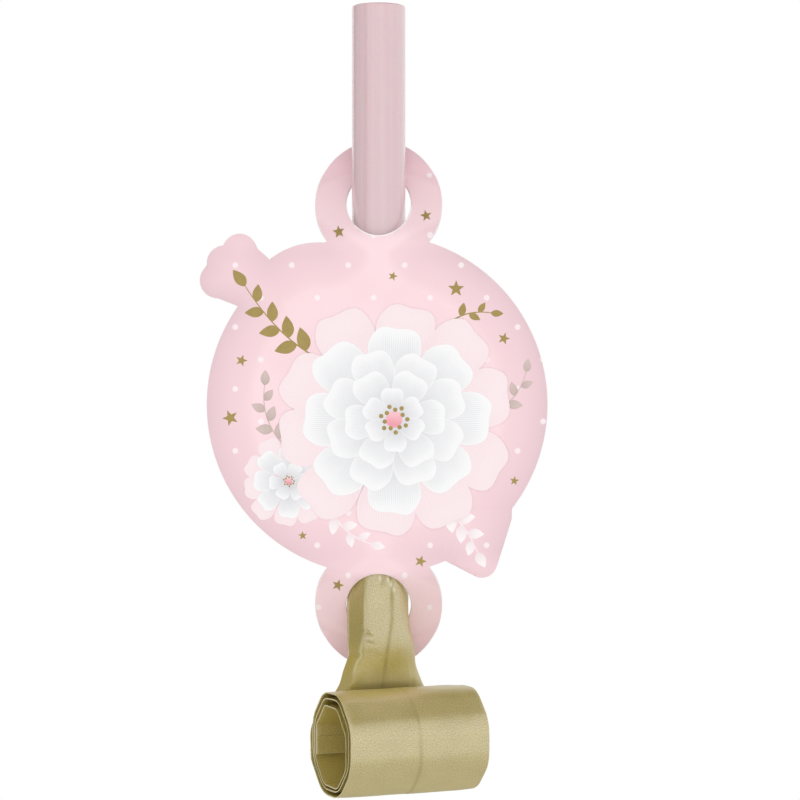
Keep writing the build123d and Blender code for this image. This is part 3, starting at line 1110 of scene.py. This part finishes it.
def pleat_place(level):
    """X of the pleat's fold."""
    return PLEAT_X - PLEAT_SLANT * max(PLEAT_LEVEL - level, 0.0)


def pleat_ridge(level):
    """Place of the pleat's fold along the strip and in front of it."""
    x = pleat_place(level)
    side = x
    for attempt in range(RIDGE_ROUNDS):
        side = (x - neck_front(side, level) * sin(STRIP_YAW)) / cos(STRIP_YAW)
    return side, neck_front(side, level)


def pleated(side, front, left, level):
    """Front of the paper beside the pleat, and the painted highlight on its fold: flat left of the fold,
    eased on the right.
    """
    ridge_side, ridge_front = pleat_ridge(level)
    lip = LIP_HEIGHT * (LIP_START + (1 - LIP_START) * smooth_step(level, LIP_START_LEVEL, PLEAT_LEVEL))
    kept = 1 - smooth_step(way_along(level, TUBE_END, neck_end), *PLEAT_FADE)
    past = side - ridge_side
    if past < 0:
        flat = (ridge_front + lip) * (side + left) / (ridge_side + left)
        front += (flat - front) * kept
    else:
        front += lip * (1 - smooth_step(past, 0.0, PLEAT_EASE)) * kept
    wear = FOLD_HIGHLIGHT * hump(past, *FOLD_LINE) * kept
    return front, wear * smooth_step(level, *FOLD_START) * (1 - smooth_step(level, *FOLD_END))


# Lines on the front of the neck that its creases are measured from
SEAM_X = (2.3, 0.7)
SEAM_LEVELS = (-102.8, -113.7)
PINCH_TOP = (-1.75, -104.5)
PINCH_CURVE = 0.42
WRINKLE_PLACE = (-1.5, -106.1)
WRINKLE_SLANT = 0.25
FLAP_SLANT = 0.5
PATCHES = (0.0, 0.4, 9.0)
STREAKS = (1.5, 0.16, 5.0)


def sway(value, mean, swing):
    """Noise from -1 to 1 as a share either side of its mean."""
    return mean + swing * value


# Creases on the front of the neck: lift, painted light and painted shade of each, and the bands that it is
# the product of.
# A band is a step with a start and an end, a hump with a middle and a spread, or noise with a mean and a
# swing, all measured from the line that it names.
PINCHED = ((smooth_step, "x", -2.9, -2.4), (smooth_step, "x", -0.6, -1.4))
FLAPPED = ((smooth_step, "x", 0.2, 0.5), (smooth_step, "x", 2.3, 2.0))
NECK_CREASES = (
    # Glued lap: a low step, and a groove beside it with painted shade, darker in patches
    (0.07, 0.0, 0.0, (smooth_step, "seam", -0.2, 0.25), (hump, "seam", 0.0, 1.2)),
    (-0.1, 0.0, 0.0, (hump, "seam", -0.05, 0.3)),
    (0.0, 0.0, 0.5, (hump, "seam", -0.05, 0.3), (sway, "patches", 0.75, 0.5)),
    # Curve where the pleat is pinched below the tube: a ridge with a painted highlight over a furrow with
    # painted shade
    (0.16, 0.0, 0.0, *PINCHED, (hump, "pinch", 0.12, 0.2)),
    (0.0, 0.5, 0.0, *PINCHED, (hump, "pinch", 0.1, 0.12)),
    (-0.18, 0.0, 0.0, *PINCHED, (hump, "pinch", -0.45, 0.3)),
    (0.0, 0.0, 0.35, *PINCHED, (hump, "pinch", -0.35, 0.2)),
    # Short wrinkle under the pinch, with painted shade in it
    (-0.12, 0.0, 0.5, (hump, "wrinkle", 0.0, 0.17), (hump, "x", -1.4, 0.85)),
    # Bulge down the right of the cuff
    (0.1, 0.0, 0.0, (hump, "x", 3.55, 0.45), (hump, "level", -102.5, 5.0)),
    # Flap at the top of the cuff: painted shade on it, and small bumps with painted highlights along its
    # edge
    (0.0, 0.0, 0.22, *FLAPPED, (smooth_step, "flap", -97.7, -96.9)),
    (0.12, 1.1, 0.0, (hump, "x", 0.25, 0.204), (hump, "level", -95.5, 0.476)),
    (0.12, 1.1, 0.0, (hump, "x", 1.6, 0.252), (hump, "level", -95.8, 0.588)),
    (0.12, 1.1, 0.0, (hump, "x", 2.1, 0.204), (hump, "level", -96.6, 0.476)),
    (0.12, 1.1, 0.0, (hump, "x", 2.6, 0.18), (hump, "level", -97.5, 0.42)),
    # Foot: painted light, paler where the neck flattens towards the coil to lift its shade there, more so
    # right of the pleat, with streaks down it
    (0.0, 0.16, 0.0, (smooth_step, "level", -109.5, -113.0)),
    (0.0, 0.3, 0.0, (smooth_step, "level", -109.5, -113.0), (smooth_step, "pleat", 0.2, 3.0)),
    (0.08, 0.0, 0.0, (smooth_step, "level", -104.0, -108.5), (sway, "streaks", 0.0, 1.0)),
)


def neck_relief(x, level):
    """Lift, painted light and painted shade of all the creases on the front of the neck."""
    seam_top, seam_foot = SEAM_X
    past = {
        "x": x,
        "level": level,
        "seam": x - seam_top - (seam_foot - seam_top) * way_along(level, *SEAM_LEVELS),
        "pleat": x - pleat_place(level),
        "pinch": level - PINCH_TOP[1] + PINCH_CURVE * (x - PINCH_TOP[0]) ** 2,
        "wrinkle": level - WRINKLE_PLACE[1] + WRINKLE_SLANT * (x - WRINKLE_PLACE[0]),
        "flap": level - FLAP_SLANT * x,
        "patches": ripple(x, level, PATCHES),
        "streaks": ripple(x, level, STREAKS),
    }
    relief = Vector((0.0, 0.0, 0.0))
    for lift, wear, shade, *bands in NECK_CREASES:
        relief += Vector((lift, wear, shade)) * prod(band(past[line], *span) for band, line, *span in bands)
    return relief


# Fronts between which the creases come in, and the worn right edge of the neck
FACING = (0.0, 0.6)
EDGE_WEAR = 0.6
EDGE_WEAR_WIDTH = 0.12
EDGE_WEAR_LEVELS = (-98.0, -102.0)
# How far the sheen is lost on the front of the neck where it flattens, and between which levels
NECK_DULLNESS = 0.62
DULL_LEVELS = (-104.6, -109.8)


def neck_point(turn, level):
    """A point of the paper round the tube, with its wear and painted light and its painted shade: round at
    first, then ever flatter.
    """
    roundness, left, right, front_depth, back_depth = neck_size(level)
    power = 2 / roundness
    c, s = cos(turn), sin(turn)
    if s < 0:
        right += (right - CUFF_RADIUS) * s * smooth_step(level, *BACK_TUCK_LEVELS)
    side = abs(c) ** power * (right if c >= 0 else -left)
    front = abs(s) ** power * (front_depth if s >= 0 else -back_depth)
    wear, shade = 0.0, 0.0
    if front > 0:
        front, wear = pleated(side, front, left, level)
        facing = smooth_step(front, *FACING)
        # Lift of the creases, their painted light and their painted shade
        lift, paled, dark = neck_relief((strip_side * side + strip_front * front).x, level)
        front += lift * facing
        wear += paled * facing
        shade = dark * facing
    wear += EDGE_WEAR * hump(side, right, EDGE_WEAR_WIDTH) * smooth_step(level, *EDGE_WEAR_LEVELS)
    point = strip_side * side + strip_front * front
    angle = atan2(point.y, point.x)
    crinkle = 0.0
    for height, round_rate, rate, layer in NECK_CRINKLES:
        place = Vector((round_rate * cos(angle), round_rate * sin(angle), level * rate + layer))
        crinkle += height * noise.noise(place)
    loose = smooth_step(front_depth if s > 0 else back_depth, *CRINKLE_DEPTHS)
    point *= 1 + crinkle * loose / point.length
    return point + level * UP, min(wear, 1.0), min(shade, 1.0)


def ring_places(ring):
    """Flat places of the points round the neck at one level, from the middle of its back or front."""
    quarter = NECK_COLUMNS // 4
    places = []
    for start in (0, 2 * quarter):
        runs = [0.0]
        for first, second in zip(ring[start:], ring[start + 1 : start + 2 * quarter]):
            runs.append(runs[-1] + (second - first).length)
        places += [(run - runs[quarter], ring[0].z) for run in runs]
    return places


def build_neck(paper):
    """The paper from the cuff on the tube to the first crease, hollow where the tube sits in it."""
    top = TUBE_END + CUFF_LENGTH
    bore = TUBE_RADIUS + BORE_CLEARANCE
    turns = [-2 * pi * column / NECK_COLUMNS for column in range(NECK_COLUMNS)]
    points, places = [], []
    for level in (TUBE_END - TUBE_END_CLEARANCE, top):
        points += [bore * (strip_side * cos(turn) + strip_front * sin(turn)) + level * UP for turn in turns]
        places += [(-turn * CUFF_RADIUS, level) for turn in turns]
    wear, shade, dull = ([0.0] * len(points) for kind in range(3))
    for level in evenly(top, neck_end, NECK_ROWS - 1):
        ring, paled, dark = zip(*(neck_point(turn, level) for turn in turns))
        points += ring
        places += ring_places(ring)
        wear += paled
        shade += dark
        lost = NECK_DULLNESS * smooth_step(level, *DULL_LEVELS)
        dull += [0.0] * (NECK_COLUMNS // 2) + [lost] * (NECK_COLUMNS // 2)
    faces = loop_faces(len(points) // NECK_COLUMNS, NECK_COLUMNS)
    neck = add_gold("neck", points, faces, paper, places, wear=wear, shade=shade, dull=dull)
    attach(neck, "mouthpiece")
    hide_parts("paper_neck")


# Strip: the flat paper tube, in lengths, and the wire in it

STRIP_COLUMNS = 30
STRIP_SHARP_ANGLE = 70
STRAIGHT_STEPS = 5
ARC_STEPS = 8
TAIL_STEPS = 4
MEETING_STEP = 0.04
FOLD_POINTS = 5
EDGE_PINCH = 0.45
EDGE_PINCH_REACH = 3.5
EDGE_FOLD_WEAR = 0.7
LAP_STEP = 0.05
LAP_EDGE = 0.1
LAP_FLANK = 0.5
LAP_LINE_SPREAD = 0.3
# Painted shade along the glued lap: its strength, how much of it fades, and the runs over the coil's top
# where it fades
LAP_SHADE = 0.3
LAP_FADE = 0.8
LAP_FADE_RUN = (21.5, 29.0)
LAP_SWAY = 0.2
LAP_SWAY_LENGTH = 7.0
CRUMPLE = 0.06
CRUMPLE_WAVES = (0.28, 0.5, 3.0)
CRUMPLE_RIPPLES = (0.7, 0.22, 17.0)
RIPPLE_SHARE = 0.6
# How far the faces of a length swell in the first, second and third turn
OUTER_PUFF = (0.1, 0.08, 0.04)
INNER_PUFF = (0.08, 0.05, 0.02)
INNER_SAG = Vector((-0.25, -0.3))
COIL_TURN = 48.0
# Tops of the second and third turn: run along the strip, how far they rise
TURN_TOPS = ((77.0, 0.16), (117.0, -0.45))
TURN_TOP_SPREAD = 9.0
WIRE_RADIUS = 0.07
WIRE_SIDES = 8

link_length = [(creases[k + 1] - creases[k]).length for k in range(LINK_COUNT)]
strip_run = [0.0]
for number in range(1, LINK_COUNT + 1):
    before = link_length[number - 2] / 2 if number > 1 else 2 * crease_reach(number)
    corner_saving = 2 * crease_reach(number) - crease_rounding(number) * crease_angle
    strip_run.append(strip_run[-1] + before + link_length[number - 1] / 2 - corner_saving)


def strip_point(across, flat):
    """A place across the strip and in its own plane, as a point of the frame."""
    return strip_side * across + strip_front * flat.x + UP * flat.y


def lap_place(run):
    """Where the glued lap runs across the strip, that far along it."""
    return LAP_SWAY * sin(run / LAP_SWAY_LENGTH)


def strip_section(lap):
    """Across the strip, share of its thickness, fold and lap, round a flat paper tube with folded edges."""
    radius = STRIP_THICKNESS * (1 - EDGE_PINCH) / 2
    edge = STRIP_WIDTH / 2 - radius
    half = STRIP_COLUMNS // 2
    turns = evenly(0.0, pi, FOLD_POINTS)[1:-1]
    section = [(across, 1.0, 0.0, 1.0) for across in evenly(-edge, lap - LAP_FLANK, half)]
    section += [(lap - LAP_EDGE, 1.0, 0.0, 1.0), (lap + LAP_EDGE, 1.0, 0.0, 0.0)]
    section += [(across, 1.0, 0.0, 0.0) for across in evenly(lap + LAP_FLANK, edge, half)]
    section += [(edge + radius * sin(turn), (1 + cos(turn)) / 2, sin(turn), 0.0) for turn in turns]
    section += [(across, 0.0, 0.0, 0.0) for across in evenly(edge, -edge, STRIP_COLUMNS)]
    section += [(-edge - radius * sin(turn), (1 - cos(turn)) / 2, sin(turn), 0.0) for turn in turns]
    return section


def puff(share, number):
    """How far the outer and inner faces of a length swell, that share of the way along it."""
    swell = 4 * share * (1 - share)
    turn = (number - 1) // CREASES_PER_TURN
    return OUTER_PUFF[turn] * swell, INNER_PUFF[turn] * swell


def sag(run):
    """The inner turns hang lower and farther back in the coil, so that its gaps are widest at the top."""
    lift = sum(rise * hump(run, top, TURN_TOP_SPREAD) for top, rise in TURN_TOPS)
    return INNER_SAG * smooth_step(run, COIL_TURN, 3 * COIL_TURN) + Vector((0, lift))


def pinch(across):
    """Share by which the paper is thinner towards its folded edges."""
    return EDGE_PINCH * smooth_step(abs(across), STRIP_WIDTH / 2 - EDGE_PINCH_REACH, STRIP_WIDTH / 2)


def strip_rows(number):
    """Half a length either side of a crease: place, heading, run along the strip, swell out and in."""
    corner, after = creases[number - 1], creases[number]
    radius, reach = crease_rounding(number), crease_reach(number)
    before = creases[number - 2] if number > 1 else corner + Vector((0, 4 * reach))
    come, leave = (corner - before).normalized(), (after - corner).normalized()
    first, second = (corner - before).length / 2, (after - corner).length / 2

    def swell_before(away):
        return puff(1 - away / (2 * first), number - 1) if number > 1 else (0.0, 0.0)

    def swell_after(away):
        return puff(away / (2 * second), number)

    rows = []
    run = strip_run[number - 1]
    straight = first - reach
    for distance in [0.0, MEETING_STEP, *evenly(0.0, straight, STRAIGHT_STEPS)[1:-1]]:
        away = first - distance
        rows.append((corner - come * away, come, run + distance, *swell_before(away)))
    run += straight
    outward = Vector((come.y, -come.x))
    centre = corner - come * reach - outward * radius
    for turn in evenly(0.0, crease_angle, ARC_STEPS):
        place = centre + (outward * cos(turn) + come * sin(turn)) * radius
        heading = come * cos(turn) - outward * sin(turn)
        swell = swell_after if turn > crease_angle / 2 else swell_before
        rows.append((place, heading, run + radius * turn, *swell((place - corner).length)))
    run += radius * crease_angle
    straight = second - reach
    for distance in [*evenly(0.0, straight, STRAIGHT_STEPS)[1:-1], straight - MEETING_STEP, straight]:
        away = reach + distance
        rows.append((corner + leave * away, leave, run + distance, *swell_after(away)))
    return rows


def tail_rows():
    """The last half length, from its middle to the end of the strip."""
    start = (creases[-2] + creases[-1]) / 2
    heading = (creases[-1] - creases[-2]).normalized()
    length = (creases[-1] - start).length
    rows = []
    for distance in evenly(0.0, length, TAIL_STEPS):
        swell = puff((1 + distance / length) / 2, LINK_COUNT)
        rows.append((start + heading * distance, heading, strip_run[-1] + distance, *swell))
    return rows


def strip_mesh(name, rows, paper, crumple=CRUMPLE):
    """Flat paper tube along a row of places."""
    first, last = rows[0][2], rows[-1][2]
    points, places, wear, shade = [], [], [], []
    for place, heading, run, outer_swell, inner_swell in rows:
        outward = Vector((heading.y, -heading.x))
        lap = lap_place(run)
        section = strip_section(lap)
        amount = crumple * sin(pi * (run - first) / (last - first)) ** 2
        # Painted shade along the glued lap, fading over the top of the coil
        dark = LAP_SHADE * (1 - LAP_FADE * smooth_step(run, *LAP_FADE_RUN))
        for across, out, fold, under in section:
            slack = 1 - pinch(across)
            inner = STRIP_THICKNESS * (1 - slack) / 2 + inner_swell * slack
            outer = STRIP_THICKNESS * (1 + slack) / 2 + outer_swell * slack
            waves = ripple(across, run, CRUMPLE_WAVES) + RIPPLE_SHARE * ripple(across, run, CRUMPLE_RIPPLES)
            lift = inner + (outer - inner) * out + amount * waves - LAP_STEP * under
            points.append(strip_point(across, place + sag(run) + outward * lift))
            places.append((across, run))
            wear.append(EDGE_FOLD_WEAR * fold)
            shade.append(dark * hump(across, lap, LAP_LINE_SPREAD) if out == 1.0 else 0.0)
    faces = loop_faces(len(rows), len(section))
    return add_gold(name, points, faces, paper, places, STRIP_SHARP_ANGLE, wear=wear, shade=shade)


def wire_mesh(name, rows, steel):
    """The spring wire along the middle of one stretch of the strip."""
    points = []
    for place, heading, run, outer_swell, inner_swell in rows:
        outward = Vector((heading.y, -heading.x))
        middle = place + sag(run) + outward * (STRIP_THICKNESS + outer_swell + inner_swell) / 2
        for out, across in circle((0.0, 0.0), WIRE_RADIUS, WIRE_SIDES):
            points.append(strip_point(across, middle + outward * out))
    piece = add_mesh(name, points, loop_faces(len(rows), WIRE_SIDES), [steel])
    return piece


def build_strip(paper, steel):
    """The strip and its wire in lengths, each bending across its crease, then the last half length."""
    for number in range(1, LINK_COUNT + 1):
        rows = strip_rows(number)
        strip = strip_mesh(f"strip_{number:02d}", rows, paper)
        wire = wire_mesh(f"wire_{number:02d}", rows, steel)
        for piece, node in ((strip, "paper_link"), (wire, "spring_link")):
            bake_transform(piece)
            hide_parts(f"{node}_{number:02d}")
    rows = tail_rows()
    for piece in (strip_mesh("strip_tail", rows, paper, crumple=0.0), wire_mesh("wire_tail", rows, steel)):
        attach(piece, f"blowout_{LINK_COUNT:02d}")


# End fold

END_FOLD_LENGTH = 3.0
END_FOLD_THICKNESS = 0.1
END_FOLD_INSET = 0.3
END_FOLD_GAP = 0.01
END_FOLD_COLUMNS = 24
END_FOLD_ROWS = 6
END_FOLD_HIGHLIGHT = 0.2


def build_end_fold(paper):
    """The strip's end, folded over and glued down on its inner side."""
    heading = (creases[-1] - creases[-2]).normalized()
    inward = Vector((-heading.y, heading.x))
    half = STRIP_WIDTH / 2 - END_FOLD_INSET
    low, high = END_FOLD_GAP, END_FOLD_GAP + END_FOLD_THICKNESS
    section = [(across, high) for across in evenly(-half, half, END_FOLD_COLUMNS)]
    section += [(across, low) for across in evenly(half, -half, END_FOLD_COLUMNS)]
    end = creases[-1] + sag(strip_run[-1])
    points, places, wear = [], [], []
    for back in evenly(END_FOLD_LENGTH, 0.0, END_FOLD_ROWS - 1):
        for across, height in section:
            points.append(strip_point(across, end - heading * back + inward * height))
            places.append((across, strip_run[-1] + back))
            # A painted highlight along the end's folded edge
            wear.append(0.0 if back else END_FOLD_HIGHLIGHT)
    faces = [turned(face) for face in loop_faces(END_FOLD_ROWS, len(section))]
    piece = add_gold("strip_end_fold", points, faces, paper, places, wear=wear)
    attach(piece, f"blowout_{LINK_COUNT:02d}")
    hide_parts("end_fold")


# CAD solids that stay


def dress(material, *nodes):
    """Gives CAD solids a material of their own."""
    for node in nodes:
        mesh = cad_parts[node].data
        mesh.materials.clear()
        mesh.materials.append(material)


def dress_solids(steel):
    dress(pink_plastic(), "mouthpiece_tube")
    dress(reed_plastic(), "reed_body", "reed_wedge")
    dress(reed_film(), "reed_tongue")
    dress(steel, "spring_anchor")


# Stage

FLOOR_LEVEL = -320.0
BACKDROP_DEPTH = 600.0
STAGE_REACH = 2000.0
STAGE_GREY = (0.8, 0.8, 0.8, 1.0)
FLAG_REACH = 500.0
FLAG_DEPTH = 800.0
FLAG_LIFT = 10.0
FLAG_FLOOR = FLOOR_LEVEL + FLAG_LIFT
# Dark panels that only reflections see: name, two opposite corners, brightness
FLAGS = (
    ("flag_left", (-FLAG_REACH, -425.0, -750.0), (-FLAG_REACH, 475.0, FLAG_REACH), 0.05),
    ("flag_above", (-FLAG_REACH, -1000.0, FLAG_REACH), (FLAG_REACH, FLAG_DEPTH, FLAG_REACH), 0.02),
    ("flag_below", (-FLAG_REACH, -500.0, FLAG_FLOOR), (FLAG_REACH, FLAG_DEPTH, FLAG_FLOOR), 0.5),
)


def add_panel(name, low, high, material):
    """A flat rectangle between two opposite corners, which share one coordinate."""
    first, second = [axis for axis in range(3) if low[axis] != high[axis]]
    corners = []
    for beside, above in ((low, low), (high, low), (high, high), (low, high)):
        corner = list(low)
        corner[first] = beside[first]
        corner[second] = above[second]
        corners.append(corner)
    panel = add_mesh(name, corners, [(0, 1, 2, 3)], [material])
    panel.visible_diffuse = False
    panel.visible_shadow = False
    return panel


def build_stage():
    """Floor and backdrop that look white to the camera and in reflections."""
    skin = Surface("stage_white", Roughness=0.9, Base_Color=STAGE_GREY)
    skin.show_white("Emission", skin.shader, "Material Output")
    near_left = (-STAGE_REACH, -STAGE_REACH, FLOOR_LEVEL)
    add_panel("floor", near_left, (STAGE_REACH, STAGE_REACH, FLOOR_LEVEL), skin.material)
    far_left = (-STAGE_REACH, BACKDROP_DEPTH, FLOOR_LEVEL)
    add_panel("backdrop", far_left, (STAGE_REACH, BACKDROP_DEPTH, STAGE_REACH), skin.material)


def build_flags():
    """Dark panels on the left, above and below that only reflections see, as in a photo studio."""
    for name, low, high, brightness in FLAGS:
        skin = Surface(name)
        skin.show(skin.add("Emission", {"Color": WHITE, "Strength": brightness}), "Material Output")
        flag = add_panel(name, low, high, skin.material)
        flag.visible_camera = False
        flag.visible_transmission = False


# Light

AMBIENT_LIGHT = 0.93
LAMP_DISTANCE = 1200.0
LAMP_WIDTH = 1000.0
LAMP_HEIGHT = 900.0
# Lamps: name, azimuth to the right of the camera and elevation in degrees, brightness
LAMPS = (("key", 3, 4, 0.4), ("low", 6, -24, 0.3), ("back", 170, 20, 0.5))


def build_world():
    """Even studio light from all round, seen as white by the camera and in reflections."""
    world = bpy.data.worlds.new("studio")
    bpy.context.scene.world = world
    nodes = Nodes(world)
    ambient = nodes.tree.nodes["Background"]
    ambient.inputs["Color"].default_value = WHITE
    ambient.inputs["Strength"].default_value = AMBIENT_LIGHT
    nodes.show_white("Background", ambient, "World Output")


def build_lamps():
    """Soft rectangular lamps aimed at the middle of the object, left out of reflections."""
    for name, azimuth, elevation, brightness in LAMPS:
        light = bpy.data.lights.new(name, "AREA")
        light.shape = "RECTANGLE"
        light.size = LAMP_WIDTH * MM
        light.size_y = LAMP_HEIGHT * MM
        light.energy = brightness * pi * light.size * light.size_y
        lamp = add_object(name, light)
        x, y = step_from((0.0, 0.0), radians(azimuth - 90), cos(radians(elevation)))
        direction = Vector((x, y, sin(radians(elevation))))
        lamp.location = (DISC_LEVEL * UP + direction * LAMP_DISTANCE) * MM
        lamp.rotation_euler = direction.to_track_quat("Z", "Y").to_euler()
        lamp.visible_camera = False
        lamp.visible_glossy = False


# Camera

CAMERA_PLACE = Vector((3.58, -410.0, -66.01))
FIELD_WIDTH = 134.15
SENSOR_WIDTH = 36.0
NEAREST_SEEN = 10.0


def build_camera():
    camera = bpy.data.cameras.new("camera")
    camera.sensor_width = SENSOR_WIDTH
    camera.lens = SENSOR_WIDTH * -CAMERA_PLACE.y / FIELD_WIDTH
    camera.clip_start = NEAREST_SEEN * MM
    holder = add_object("camera", camera)
    holder.location = CAMERA_PLACE * MM
    holder.rotation_euler = (radians(90), 0, 0)
    bpy.context.scene.camera = holder
    bpy.context.scene.view_settings.view_transform = "Standard"


steel = spring_wire()
dress_solids(steel)
build_card()
gold = gold_ink()
build_stars(gold)
build_painted_hole_light()
build_sprigs(gold)
build_blooms(gold)
paper = gold_paper()
build_neck(paper)
build_strip(paper, steel)
build_end_fold(paper)
build_stage()
build_flags()
build_world()
build_lamps()
build_camera()
